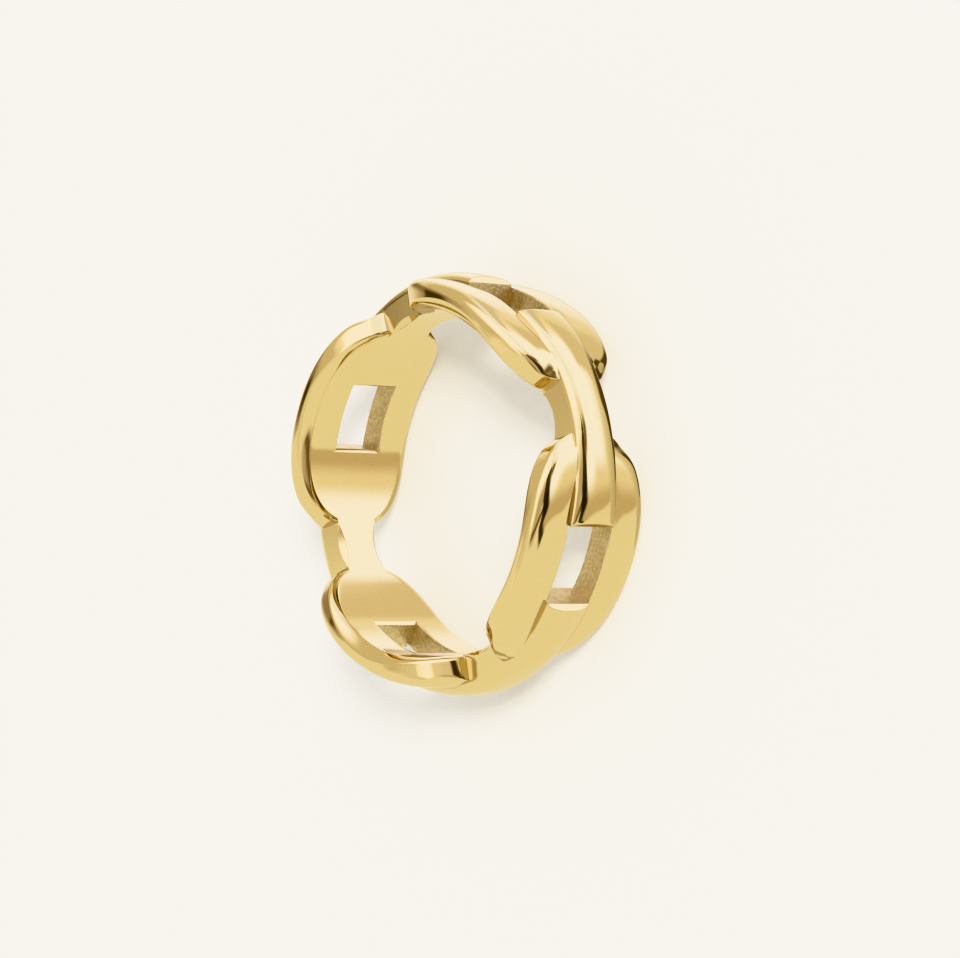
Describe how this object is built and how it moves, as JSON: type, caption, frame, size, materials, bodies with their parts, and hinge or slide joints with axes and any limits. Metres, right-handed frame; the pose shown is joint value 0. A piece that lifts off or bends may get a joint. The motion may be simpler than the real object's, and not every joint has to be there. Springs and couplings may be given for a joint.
{
  "type": "chain link ring",
  "caption": "Cast finger ring in polished gold-coloured metal: a band of wide domed oval links with slots through them, joined by narrow raised bars.",
  "frame": {"origin": "centre of the ring's lower side, on the surface that it rests on when it lies on its side", "axes": "+Z along the finger axis, upwards out of the bore; +X and +Y each through the middle of a link"},
  "size_m": [0.0202, 0.0202, 0.0071],
  "materials": {
    "gold": "polished"
  },
  "bodies": {
    "root": {"ring": "gold"}
  },
  "joints": []
}
